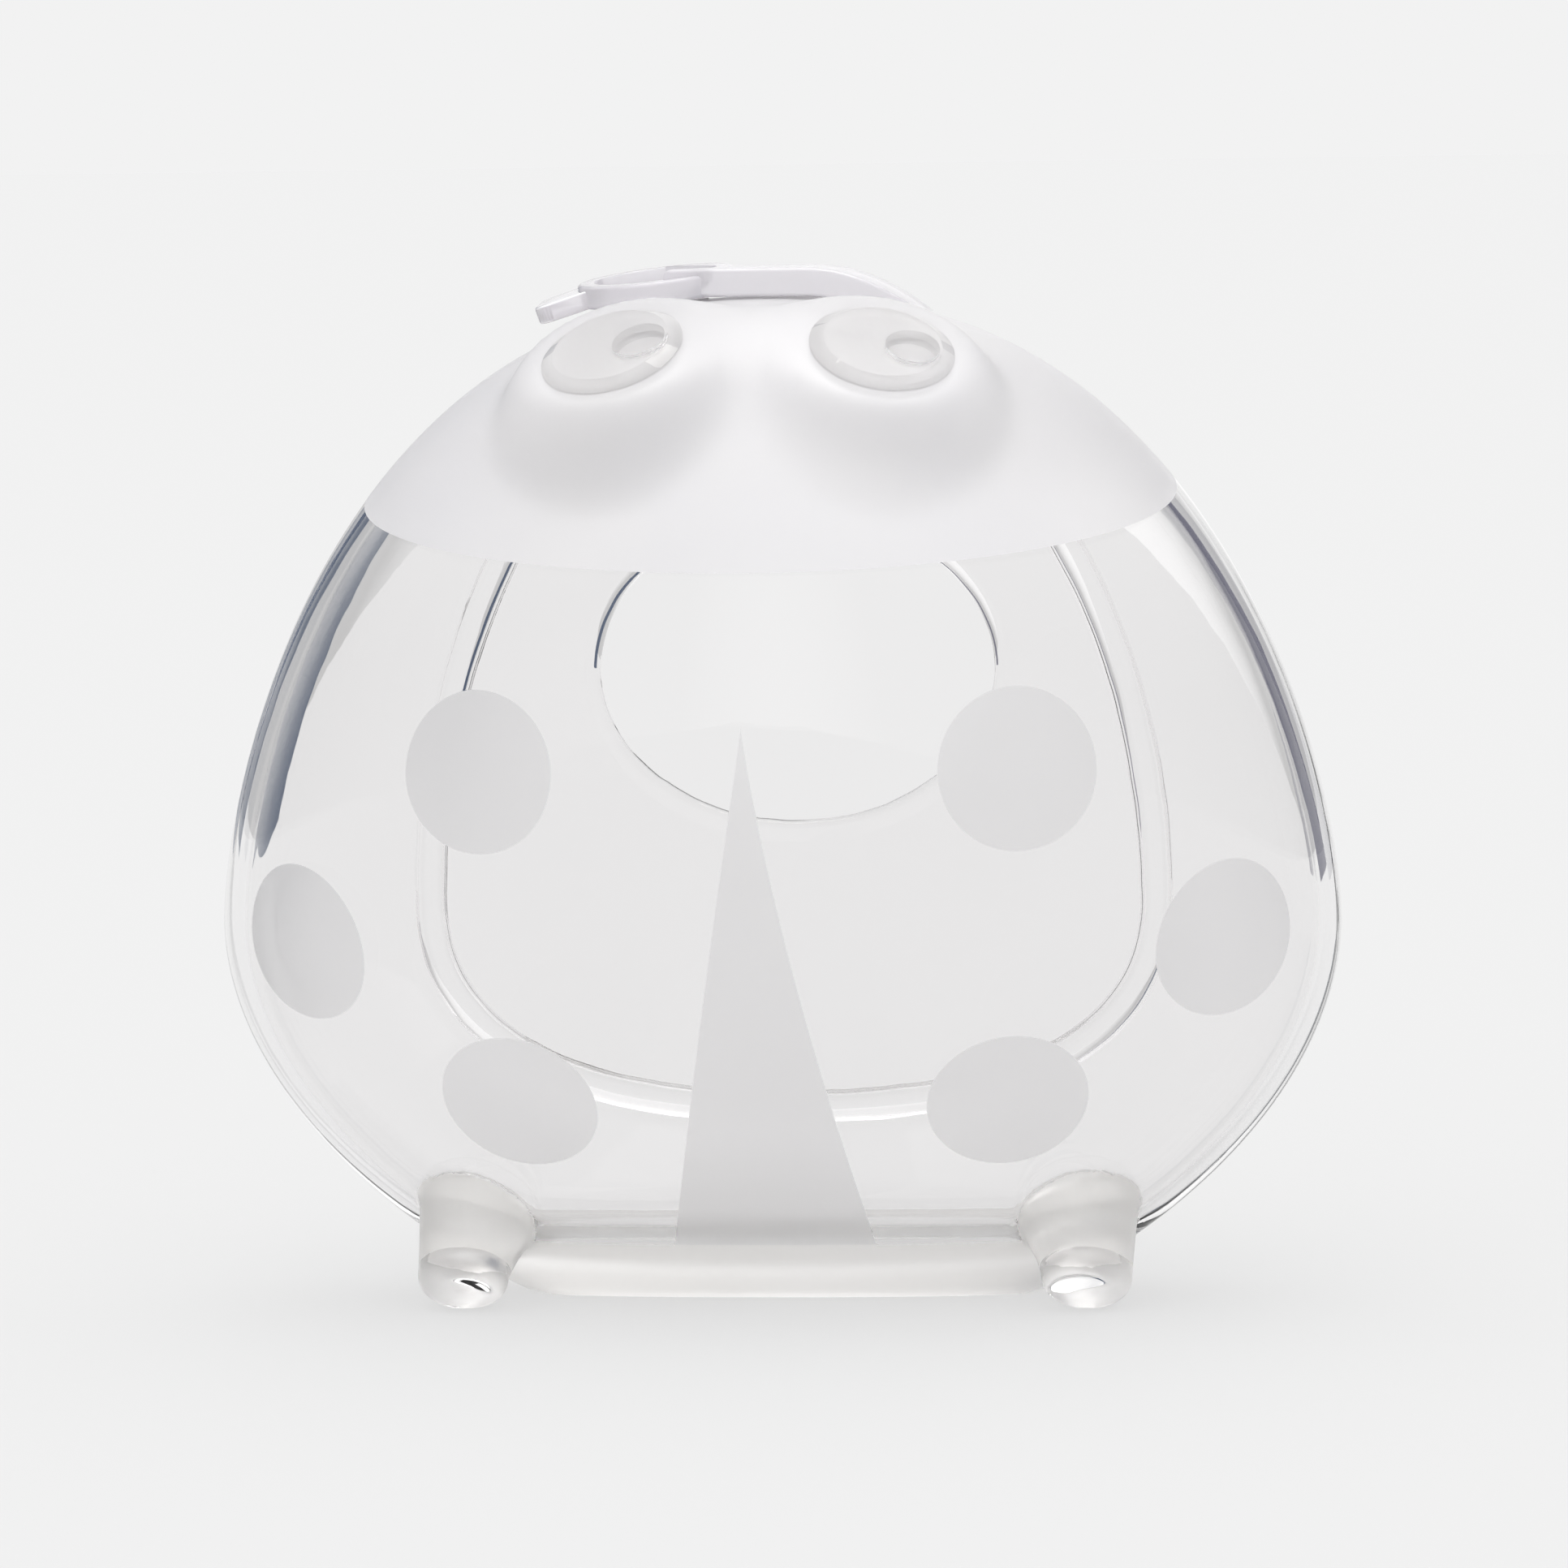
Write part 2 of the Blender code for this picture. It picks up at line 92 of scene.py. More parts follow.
cup = dict(
    width=0.0735,
    widestHeight=0.0396,
    top=0.0921,
    bottom=0.0178,
    rise=1.9,
    round=2.4,
    rimRadius=0.0018,
    rimSink=0.0010,
    rimStart=14.0,
    rimRings=12,
    dishRecess=0.0030,
    dishRings=14,
    lipRings=8,
    nippleWidth=0.0398,
    nippleTall=0.0308,
    nippleHeight=0.0621,
    nippleShift=0.0009,
)

eyes = dict(
    radius=0.0071,
    thickness=0.0018,
    spread=0.0133,
    forward=0.0238,
    height=0.0962,
    lean=0.20,
    pitch=59.0,
    bossFlat=0.0080,
    bossReach=0.0145,
    bossLift=0.0009,
    bossDeepest=0.010,
    pupilRadius=0.00265,
    pupilOffset=0.0029,
    pupilDepth=0.0008,
    rim=0.0013,
    sunk=0.0006,
)

feet = dict(
    radius=0.0045,
    spread=0.031,
    forward=0.0130,
    pitch=53.0,
    edge=0.0019,
    settle=0.0001,
    dome=0.0003,
    length=0.0125,
    flareFrom=0.0020,
    flare=0.0060,
    flareEase=1.4,
    outerFlare=0.10,
    innerEase=1.5,
    clearTip=0.0030,
    clearReach=0.0055,
    offGround=0.00004,
    cavityGap=0.0007,
    sides=72,
    edgeSteps=9,
    lengthSteps=24,
)

# where and how far the crease round each foot is softened
seam = dict(
    nearest=0.0035,
    furthest=0.018,
    around=0.013,
    angle=0.22,
    refine=(0.0030, 0.0022),
    shortest=0.0005,
    reach=0.0016,
    above=0.0012,
    passes=12,
)

closure = dict(
    holeX=-0.0110,
    y=-0.0015,
    tilt=6.0,
    collarRadius=0.0050,
    bore=0.00345,
    collarLength=0.0042,
    capRadius=0.0078,
    capThickness=0.0023,
    capLift=0.0008,
    dishRadius=0.0060,
    dishDepth=0.0013,
    plugRadius=0.0030,
    plugTaper=0.0004,
    plugLength=0.0035,
    strapWidth=0.012,
    strapThickness=0.0028,
    strapTop=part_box("closure_strap")[1].z,
    bendX=0.0040,
    bendDrop=0.0030,
    hingeX=0.0130,
    rootLength=0.0034,
    tabWidth=0.0085,
    tabLength=0.0062,
    tabThickness=0.0018,
    tabPitch=18.0,
    roundEdge=0.0004,
    nod=4.5,
    dishEdge=0.0002,
    roundSteps=4,
    tabCorner=0.0018,
    tabEdge=0.0003,
    tabOverlap=0.0018,
    pathSteps=60,
    clearance=0.0001,
)

frost = dict(
    crownHeight=0.0811,
    crownSlope=0.2,
    spotRadius=0.00805,
    wedgeTop=0.0603,
    wedgeHalfBase=0.0108,
    wedgeBase=0.0030,
    wedgeEase=1.12,
    edge=0.00012,
    spots=((0.02634, 0.0552), (0.04566, 0.03736), (0.02408, 0.02166)),
)

# material slots of the body
slots = dict(skin=0, inside=1, crown=2, milky=3)
weld = 2e-6
smoothBelow = math.radians(38)



def bridge(bm, lower, upper, slot=0):
    # a closed strip of quads between two rings
    count = len(lower)
    for i in range(count):
        j = (i + 1) % count
        bm.faces.new((lower[i], lower[j], upper[j], upper[i])).material_index = slot


def fall(share, rise, rounding):
    share = np.clip(share, 0.0, 1.0)
    return (1.0 - share ** rise) ** (1.0 / rounding)


def tucked(z, low, edge):
    # how far a wall is pulled in by the rounding at its foot
    over = np.clip(edge - (z - low), 0.0, edge)
    return edge - np.sqrt(np.maximum(edge ** 2 - over ** 2, 0.0))


def halfWidth(z, grow=0.0, low=0.0, edge=0.0):
    up = (z - body["widestHeight"]) / (body["top"] + grow - body["widestHeight"])
    down = (body["widestHeight"] - z) / (body["bellyReach"] + grow)
    share = np.where(
        z > body["widestHeight"],
        fall(up, body["crownRise"], body["crownRound"]),
        fall(down, body["bellyRise"], body["bellyRound"]),
    )
    return (body["halfWidth"] + grow) * share - tucked(z, low, edge)


def depthAhead(z, grow=0.0, low=0.0, edge=0.0):
    up = (z - body["frontHeight"]) / (body["top"] + grow - body["frontHeight"])
    down = (body["frontHeight"] - z) / (body["chinReach"] + grow)
    share = np.where(
        z > body["frontHeight"],
        fall(up, body["browRise"], body["browRound"]),
        fall(down, body["chinRise"], body["chinRound"]),
    )
    return np.maximum((body["frontDepth"] + grow) * share - tucked(z, low, edge), 0.0001)


def depthBehind(z, grow=0.0, low=0.0, edge=0.0):
    up = (z - body["rearHeight"]) / (body["top"] + grow - body["rearHeight"])
    down = (body["rearHeight"] - z) / (body["seatReach"] + grow)
    share = np.where(
        z > body["rearHeight"],
        fall(up, body["napeRise"], body["napeRound"]),
        fall(down, body["seatRise"], body["seatRound"]),
    )
    return np.maximum((body["rearDepth"] + grow) * share - tucked(z, low, edge), 0.0001)


angles = 2 * math.pi * np.arange(body["columns"]) / body["columns"]
alongX = np.cos(angles)
upZ = np.sin(angles)


def signedPower(value, power):
    return np.sign(value) * np.abs(value) ** power


def outline(skin):
    # the widest line seen from the front, cut level at the skin's low plane
    grow, low = skin["grow"], skin["low"]
    rise = (body["top"] + grow - body["widestHeight"]) * np.abs(upZ) ** (2 / body["crownRise"])
    drop = (body["bellyReach"] + grow) * np.abs(upZ) ** (2 / body["bellyRise"])
    z = np.where(upZ > 0, body["widestHeight"] + rise, body["widestHeight"] - drop)
    cut = ((body["widestHeight"] - low) / (body["bellyReach"] + grow)) ** (body["bellyRise"] / 2)
    cutCos = math.sqrt(1 - cut ** 2)
    below = z < low
    z = np.where(below, low, z)
    x = np.sign(alongX) * halfWidth(z, **skin)
    x = np.where(below, halfWidth(np.full_like(z, low), **skin) * alongX / cutCos, x)
    return x, z, below


def frontRing(skin, share):
    x0, z0, below = outline(skin)
    middle = body["frontHeight"]
    x = share * x0
    z = middle + share * (z0 - middle)
    across = np.clip(1 - (x / np.maximum(halfWidth(z, **skin), 1e-6)) ** 2, 0.0, 1.0)
    y = -depthAhead(z, **skin) * np.sqrt(across)
    if share == 1.0:
        y = np.where(below, y, 0.0)
    return np.stack((x, y, z), axis=1)


def rearY(x, z, skin):
    across = np.clip(np.abs(x) / np.maximum(halfWidth(z, **skin), 1e-6), 0.0, 1.0)
    return depthBehind(z, **skin) * (1 - across ** body["rearSquare"]) ** (1 / body["rearSquare"])


def cupLine(grow):
    x = (cup["width"] / 2 + grow) * signedPower(alongX, 2 / cup["round"])
    rise = (cup["top"] + grow - cup["widestHeight"]) * np.abs(upZ) ** (2 / cup["rise"])
    drop = (cup["widestHeight"] - cup["bottom"] + grow) * np.abs(upZ) ** (2 / cup["round"])
    z = cup["widestHeight"] + np.where(upZ > 0, rise, -drop)
    return x, z


def rearRing(skin, share, grow):
    x0, z0, below = outline(skin)
    x1, z1 = cupLine(grow)
    x = x0 + share * (x1 - x0)
    z = z0 + share * (z1 - z0)
    y = rearY(x, z, skin)
    if share == 0.0:
        y = np.where(below, y, 0.0)
    return np.stack((x, y, z), axis=1)


outerSkin = dict(grow=0.0, low=0.0, edge=body["baseEdge"])
innerSkin = dict(grow=-body["wall"], low=body["floorThickness"], edge=body["floorEdge"])


def eyeFrame(side):
    # origin under the disc, Z out of its face, X sideways
    pitch = math.radians(eyes["pitch"])
    normal = Vector((side * eyes["lean"], -math.cos(pitch), math.sin(pitch))).normalized()
    sideways = (Vector((1, 0, 0)) - normal * normal.x).normalized()
    turn = Matrix((sideways, normal.cross(sideways), normal)).transposed().to_4x4()
    centre = Vector((side * eyes["spread"], -eyes["forward"], eyes["height"]))
    return Matrix.Translation(centre - normal * eyes["thickness"]) @ turn


def raiseBosses(points):
    # the crown swells to a flat seat under each eye disc
    for side in (-1, 1):
        place = eyeFrame(side)
        normal = np.array(place.to_3x3().col[2])
        centre = np.array(place.translation) + normal * eyes["bossLift"]
        away = points - centre
        height = away @ normal
        radius = np.linalg.norm(away - height[:, None] * normal, axis=1)
        t = np.clip((eyes["bossReach"] - radius) / (eyes["bossReach"] - eyes["bossFlat"]), 0.0, 1.0)
        ease = t * t * (3 - 2 * t)
        ease = np.where(np.abs(height) < eyes["bossDeepest"], ease, 0.0)
        points = points - (height * ease)[:, None] * normal
    return points


def footPlace(side):
    pitch = math.radians(feet["pitch"])
    direction = Vector((0.0, -math.cos(pitch), -math.sin(pitch)))
    radius, edge = feet["radius"], feet["edge"]
    low = radius * math.cos(pitch) - edge * (math.cos(pitch) + math.sin(pitch) - 1) - feet["settle"]
    tip = Vector((side * feet["spread"], -feet["forward"], low))
    inward = Vector((-side, 0, 0))
    return tip, direction, Matrix((inward, direction.cross(inward), direction)).transposed()


def footSolid(side):
    # a stub with a domed tip that flares into the belly, more so on its inner side
    tip, direction, turn = footPlace(side)
    radius, edge = feet["radius"], feet["edge"]
    bm = bmesh.new()
    rings = []
    count = feet["sides"]
    edgeSteps, lengthSteps = feet["edgeSteps"], feet["lengthSteps"]
    for step in range(edgeSteps + lengthSteps + 1):
        if step <= edgeSteps:
            a = math.pi / 2 * step / edgeSteps
            spread = radius - edge + edge * math.sin(a)
            depth = edge - edge * math.cos(a)
        else:
            depth = edge + (feet["length"] - edge) * (step - edgeSteps) / lengthSteps
            spread = radius
        flare = max(depth - feet["flareFrom"], 0.0) / (feet["length"] - feet["flareFrom"])
        ring = []
        for i in range(count):
            a = 2 * math.pi * i / count
            lean = (0.5 + 0.5 * math.cos(a)) ** feet["innerEase"]
            widest = feet["outerFlare"] + (1 - feet["outerFlare"]) * lean
            r = spread + feet["flare"] * flare ** feet["flareEase"] * widest
            point = tip + turn @ Vector((r * math.cos(a), r * math.sin(a), -depth))
            point.z = max(point.z, feet["offGround"])
            ring.append(bm.verts.new(point))
        rings.append(ring)
    dome = bm.verts.new(tip + direction * feet["dome"])
    shoulder = [bm.verts.new(v.co.lerp(dome.co, 0.5) + direction * feet["dome"] * 0.35) for v in rings[0]]
    for v in shoulder:
        v.co.z = max(v.co.z, feet["offGround"])
    rings.insert(0, shoulder)
    for lower, upper in zip(rings, rings[1:]):
        bridge(bm, lower, upper)
    for i in range(count):
        bm.faces.new((rings[0][(i + 1) % count], rings[0][i], dome))
    bm.faces.new(rings[-1])
    bmesh.ops.recalc_face_normals(bm, faces=bm.faces)
    for face in bm.faces:
        if (face.calc_center_median() - tip).dot(-direction) > feet["clearTip"]:
            face.material_index = slots["milky"]
    return bm


def cavitySolid(grow):
    # the hollow's space, larger by grow than it is, to keep the feet out of it
    skin = dict(grow=-body["wall"] + grow, low=body["floorThickness"] - grow, edge=body["floorEdge"])
    bm = bmesh.new()
    rows = []
    steps = 32
    for i in range(1, steps + 1):
        share = math.sin(math.pi / 2 * i / steps)
        rows.append([bm.verts.new(p) for p in frontRing(skin, share).tolist()])
    x0, z0, _ = outline(skin)
    for i in range(steps):
        share = math.cos(math.pi / 2 * (i + 0.5) / steps)
        x = share * x0
        z = body["rearHeight"] + share * (z0 - body["rearHeight"])
        rows.append([bm.verts.new(p) for p in np.stack((x, rearY(x, z, skin), z), axis=1).tolist()])
    for lower, upper in zip(rows, rows[1:]):
        bridge(bm, lower, upper)
    bm.faces.new(rows[0])
    bm.faces.new(list(reversed(rows[-1])))
    bmesh.ops.remove_doubles(bm, verts=bm.verts, dist=weld)
    bmesh.ops.recalc_face_normals(bm, faces=bm.faces)
    return bm


def rimFrame():
    # the seal rim's centre line and its sideways direction
    x, z = cupLine(0.0)
    y = rearY(x, z, dict(grow=0.0)) - cup["rimSink"]
    dx = np.roll(x, -1) - np.roll(x, 1)
    dz = np.roll(z, -1) - np.roll(z, 1)
    length = np.hypot(dx, dz)
    outward = np.stack((dz / length, np.zeros_like(x), -dx / length), axis=1)
    return np.stack((x, y, z), axis=1), outward


def bodyRings():
    # from the front pole over the outside to the nipple opening, and back inside
    rings = []
    count = body["frontRings"]
    skin, inside = slots["skin"], slots["inside"]
    for i in range(1, count + 1):
        share = 1.0 if i == count else math.sin(math.pi / 2 * i / count)
        rings.append((raiseBosses(frontRing(outerSkin, share)), skin))
    centre, outward = rimFrame()
    r = cup["rimRadius"]
    start = math.radians(cup["rimStart"])
    lateral = r * math.cos(start)
    first = rings[-1][0]
    behind = rearRing(outerSkin, 0.0, lateral)
    for k in range(1, body["sideRings"] + 1):
        rings.append((first + (behind - first) * k / body["sideRings"], skin))
    for k in range(1, body["rearRings"] + 1):
        share = (k / body["rearRings"]) ** body["rearEase"]
        rings.append((rearRing(outerSkin, share, lateral), skin))
    for k in range(1, cup["rimRings"] + 1):
        turn = start + (math.pi - 2 * start) * k / cup["rimRings"]
        ring = centre + outward * (r * math.cos(turn))
        ring[:, 1] += r * math.sin(turn)
        rings.append((ring, inside))
    edge = rings[-1][0]
    lip = body["wall"] / 2
    holeX = cup["nippleShift"] + (cup["nippleWidth"] / 2 + lip) * alongX
    holeZ = cup["nippleHeight"] + (cup["nippleTall"] / 2 + lip) * upZ
    holeY = body["rearDepth"] - cup["dishRecess"] + lip
    hole = np.stack((holeX, np.full_like(holeX, holeY), holeZ), axis=1)
    dish = []
    for k in range(cup["dishRings"] + 1):
        share = k / cup["dishRings"]
        ring = edge + (hole - edge) * share
        ring[:, 1] = edge[:, 1] + (hole[:, 1] - edge[:, 1]) * (1 - (1 - share) ** 2)
        dish.append(ring)
    for ring in dish[1:]:
        rings.append((ring, inside))
    inward = -np.stack((alongX, np.zeros_like(alongX), upZ), axis=1)
    for k in range(1, cup["lipRings"]):
        turn = math.pi * k / cup["lipRings"]
        ring = hole + inward * (lip * math.sin(turn))
        ring[:, 1] -= lip * (1 - math.cos(turn))
        rings.append((ring, inside))
    for ring in reversed(dish):
        back = ring.copy()
        back[:, 1] -= body["wall"]
        rings.append((back, inside))
    rear = []
    for k in range(body["rearRings"] + 1):
        share = (k / body["rearRings"]) ** body["rearEase"]
        rear.append(rearRing(innerSkin, share, lateral))
    for ring in reversed(rear):
        rings.append((ring, inside))
    last = frontRing(innerSkin, 1.0)
    behind = rear[0]
    for k in range(1, body["insideRings"] + 1):
        rings.append((behind + (last - behind) * k / body["insideRings"], inside))
    for i in range(count - 1, 0, -1):
        share = math.sin(math.pi / 2 * i / count)
        rings.append((frontRing(innerSkin, share), inside))
    return rings


def softenSeams(bm):
    # the crease where each foot leaves the belly is eased into a fillet
    outer = (slots["skin"], slots["milky"])

    def outside(item):
        return all(face.material_index in outer for face in item.link_faces)

    for side in (-1, 1):
        tip, direction, _ = footPlace(side)

        def creases():
            found = []
            for edge in bm.edges:
                middle = (edge.verts[0].co + edge.verts[1].co) / 2 - tip
                depth = -middle.dot(direction)
                if not seam["nearest"] < depth < seam["furthest"]:
                    continue
                if (middle + direction * depth).length > seam["around"]:
                    continue
                if len(edge.link_faces) == 2 and outside(edge) and edge.calc_face_angle(0) > seam["angle"]:
                    found.append(edge)
            return found

        def creaseTree():
            points = [v.co.copy() for edge in creases() for v in edge.verts]
            tree = KDTree(max(len(points), 1))
            for i, point in enumerate(points or [Vector((9, 9, 9))]):
                tree.insert(point, i)
            tree.balance()
            return tree

        for reach in seam["refine"]:
            tree = creaseTree()
            faces = [face for face in bm.faces if face.material_index in outer]
            faces = [face for face in faces if tree.find(face.calc_center_median())[2] < reach]
            faces = bmesh.ops.triangulate(bm, faces=faces)["faces"]
            edges = list({e for face in faces for e in face.edges if e.calc_length() > seam["shortest"]})
            bmesh.ops.subdivide_edges(bm, edges=edges, cuts=1)
            bmesh.ops.triangulate(bm, faces=[face for face in bm.faces if len(face.verts) > 4])
        tree = creaseTree()
        near = [v for v in bm.verts if tree.find(v.co)[2] < seam["reach"]]
        near = [v for v in near if outside(v) and v.co.z > seam["above"]]
        for _ in range(seam["passes"]):
            bmesh.ops.smooth_vert(
                bm, verts=near, factor=0.5, use_axis_x=True, use_axis_y=True, use_axis_z=True
            )


def newMesh(name, bm):
    mesh = bpy.data.meshes.new(name)
    bm.to_mesh(mesh)
    bm.free()
    mesh.shade_smooth()
    return mesh


def newObject(name, bm, *materials):
    thing = bpy.data.objects.new(name, newMesh(name, bm))
    bpy.context.scene.collection.objects.link(thing)
    for material in materials:
        thing.data.materials.append(material)
    return thing


def splitAt(bm, point, normal):
    bmesh.ops.bisect_plane(
        bm, geom=list(bm.verts) + list(bm.edges) + list(bm.faces), dist=1e-6,
        plane_co=point, plane_no=normal,
    )


def splitCrown(bm):
    # the crown's frosted face ends on a sharp mould line
    low = Vector((0, 0, frost["crownHeight"]))
    up = Vector((0, -frost["crownSlope"], 1)).normalized()
    splitAt(bm, low, up)
    for face in bm.faces:
        above = (face.calc_center_median() - low).dot(up) > 0
        if above and face.material_index == slots["skin"]:
            face.material_index = slots["crown"]


def splitBase(bm):
    # the pad and the roots of the feet are hazy, the belly and the toe tips stay clear
    height = body["floorThickness"] - body["hazeDrop"]
    splitAt(bm, (0, 0, height), (0, 0, 1))
    for face in bm.faces:
        centre = face.calc_center_median()
        if face.material_index != slots["skin"] or centre.z > height:
            continue
        toes = [(centre - footPlace(side)[0]).length for side in (-1, 1)]
        if min(toes) > feet["clearReach"]:
            face.material_index = slots["milky"]


def bodySkin():
    bm = bmesh.new()
    rings = bodyRings()
    rows = []
    for ring, _ in rings:
        rows.append([bm.verts.new(p) for p in ring.tolist()])
    for k in range(len(rows) - 1):
        bridge(bm, rows[k], rows[k + 1], rings[k + 1][1])
    nose = bm.verts.new((0, -body["frontDepth"], body["frontHeight"]))
    inner = bm.verts.new((0, -body["frontDepth"] + body["wall"], body["frontHeight"]))
    for i in range(body["columns"]):
        j = (i + 1) % body["columns"]
        bm.faces.new((rows[0][j], rows[0][i], nose))
        bm.faces.new((rows[-1][i], rows[-1][j], inner)).material_index = slots["inside"]
    bmesh.ops.remove_doubles(bm, verts=bm.verts, dist=weld)
    bmesh.ops.dissolve_degenerate(bm, edges=bm.edges, dist=1e-6)
    bmesh.ops.recalc_face_normals(bm, faces=bm.faces)
    return bm


def coneAlong(lowRadius, highRadius, length, segments=64):
    bm = bmesh.new()
    bmesh.ops.create_cone(
        bm, cap_ends=True, segments=segments, radius1=lowRadius, radius2=highRadius, depth=length
    )
    bmesh.ops.translate(bm, vec=(0, 0, length / 2), verts=bm.verts)
    return bm


def turned(profile, segments=96):
    # a closed turned solid from (radius, height) pairs, the first and last on the axis
    bm = bmesh.new()
    rings = []
    for radius, height in profile:
        if radius < 1e-9:
            rings.append([bm.verts.new((0, 0, height))])
            continue
        ring = []
        for i in range(segments):
            a = 2 * math.pi * i / segments
            ring.append(bm.verts.new((radius * math.cos(a), radius * math.sin(a), height)))
        rings.append(ring)
    for low, high in zip(rings, rings[1:]):
        for i in range(segments):
            j = (i + 1) % segments
            if len(low) == 1:
                bm.faces.new((low[0], high[j], high[i]))
            elif len(high) == 1:
                bm.faces.new((low[i], low[j], high[0]))
            else:
                bm.faces.new((low[i], low[j], high[j], high[i]))
    bmesh.ops.recalc_face_normals(bm, faces=bm.faces)
    return bm


def joinSolids(thing, others, operation="UNION"):
    # applied booleans with closed bmeshes
    for bm in others:
        tool = bpy.data.objects.new("tool", newMesh("tool", bm))
        bpy.context.scene.collection.objects.link(tool)
        step = thing.modifiers.new("cut", "BOOLEAN")
        step.operation = operation
        step.solver = "MANIFOLD"
        step.object = tool
        graph = bpy.context.evaluated_depsgraph_get()
        mesh = bpy.data.meshes.new_from_object(thing.evaluated_get(graph))
        thing.modifiers.clear()
        old = thing.data
        thing.data = mesh
        bpy.data.meshes.remove(old)
        bpy.data.objects.remove(tool)
    return thing


def placed(bm, matrix):
    bmesh.ops.transform(bm, matrix=matrix, verts=bm.verts)
    return bm


def maths(tree, operation, a, b=None, clamp=False):
    node = tree.nodes.new("ShaderNodeMath")
    node.operation = operation
    node.use_clamp = clamp
    for socket, item in zip(node.inputs, (a, b)):
        if item is None:
            continue
        if isinstance(item, (int, float)):
            socket.default_value = item
        else:
            tree.links.new(item, socket)
    return node.outputs[0]


def spotCentres():
    # three mirrored pairs on the outer skin, given as (x, z)
    centres = []
    for x, z in frost["spots"]:
        wide = float(halfWidth(np.array(z)))
        y = -float(depthAhead(np.array(z))) * math.sqrt(1 - (x / wide) ** 2)
        centres.append((x, y, z))
    return centres


def frostMask():
    # 1 on the six frosted spots and the wedge
    group = bpy.data.node_groups.new("frostMask", "ShaderNodeTree")
    group.interface.new_socket("Mask", in_out="OUTPUT", socket_type="NodeSocketFloat")
    output = group.nodes.new("NodeGroupOutput")
    place = group.nodes.new("ShaderNodeTexCoord")
    split = group.nodes.new("ShaderNodeSeparateXYZ")
    group.links.new(place.outputs["Object"], split.inputs[0])
    x, y, z = split.outputs
    side = maths(group, "ABSOLUTE", x)
    mirrored = group.nodes.new("ShaderNodeCombineXYZ")
    group.links.new(side, mirrored.inputs[0])
    group.links.new(y, mirrored.inputs[1])
    group.links.new(z, mirrored.inputs[2])
    mask = None
    for centre in spotCentres():
        away = group.nodes.new("ShaderNodeVectorMath")
        away.operation = "DISTANCE"
        group.links.new(mirrored.outputs[0], away.inputs[0])
        away.inputs[1].default_value = centre
        inside = maths(group, "SUBTRACT", frost["spotRadius"], away.outputs["Value"])
        inside = maths(group, "MULTIPLY", inside, 1 / frost["edge"], clamp=True)
        mask = inside if mask is None else maths(group, "MAXIMUM", mask, inside)
    # the wedge widens a little faster towards its base
    fromTop = maths(group, "SUBTRACT", frost["wedgeTop"], z)
    share = maths(group, "MULTIPLY", fromTop, 1 / (frost["wedgeTop"] - frost["wedgeBase"]), clamp=True)
    width = maths(group, "POWER", share, frost["wedgeEase"])
    width = maths(group, "MULTIPLY", width, frost["wedgeHalfBase"])
    inside = maths(group, "SUBTRACT", width, side)
    inside = maths(group, "MULTIPLY", inside, 1 / frost["edge"], clamp=True)
    ahead = maths(group, "LESS_THAN", y, 0.0)
    above = maths(group, "GREATER_THAN", z, frost["wedgeBase"])
    inside = maths(group, "MULTIPLY", inside, ahead)
    inside = maths(group, "MULTIPLY", inside, above)
    mask = maths(group, "MAXIMUM", mask, inside)
    group.links.new(mask, output.inputs["Mask"])
    return group


# tints, roughness and how much light each finish lets through
clearLook = dict(
    tint=(0.962, 0.957, 0.958),
    eyeTint=(1.0, 0.998, 0.995),
    frostTint=(0.84, 0.832, 0.838),
    crownTint=(0.82, 0.808, 0.806),
    crownCool=(0.775, 0.768, 0.795),
    crownThrough=0.40,
    strapTint=(0.81, 0.80, 0.84),
    strapWarm=(0.87, 0.845, 0.865),
    strapRough=0.16,
    strapThrough=0.55,
    baseTint=(0.925, 0.91, 0.885),
    baseCool=(0.94, 0.925, 0.915),
    baseThrough=0.68,
    rough=0.015,
    eyeRough=0.01,
    frostRough=0.5,
    baseRough=0.35,
    ior=1.41,
    grainScale=2600.0,
    grainStrength=0.15,
    grainDepth=0.00003,
    cloudScale=45.0,
)


def siliconeShader(name, rough, tint):
    material = bpy.data.materials.new(name)
    material.use_nodes = True
    tree = material.node_tree
    shader = tree.nodes["Principled BSDF"]
    shader.inputs["Base Color"].default_value = (*tint, 1)
    shader.inputs["Roughness"].default_value = rough
    shader.inputs["Transmission Weight"].default_value = 1.0
    shader.inputs["IOR"].default_value = clearLook["ior"]
    return material, tree, shader


def gentleWaves(tree, shader, scale, strength, distance):
    # moulded silicone is never optically flat
    place = tree.nodes.new("ShaderNodeTexCoord")
    noise = tree.nodes.new("ShaderNodeTexNoise")
    noise.inputs["Scale"].default_value = scale
    noise.inputs["Detail"].default_value = 3.0
    tree.links.new(place.outputs["Object"], noise.inputs["Vector"])
    bump = tree.nodes.new("ShaderNodeBump")
    bump.inputs["Strength"].default_value = strength
    bump.inputs["Distance"].default_value = distance
    tree.links.new(noise.outputs["Fac"], bump.inputs["Height"])
    tree.links.new(bump.outputs["Normal"], shader.inputs["Normal"])
    return noise


def mixColour(tree, factor, a, b):
    node = tree.nodes.new("ShaderNodeMix")
    node.data_type = "RGBA"
    tree.links.new(factor, node.inputs["Factor"])
    for socket, item in ((node.inputs["A"], a), (node.inputs["B"], b)):
        if isinstance(item, tuple):
            socket.default_value = (*item, 1)
        else:
            tree.links.new(item, socket)
    return node.outputs["Result"]


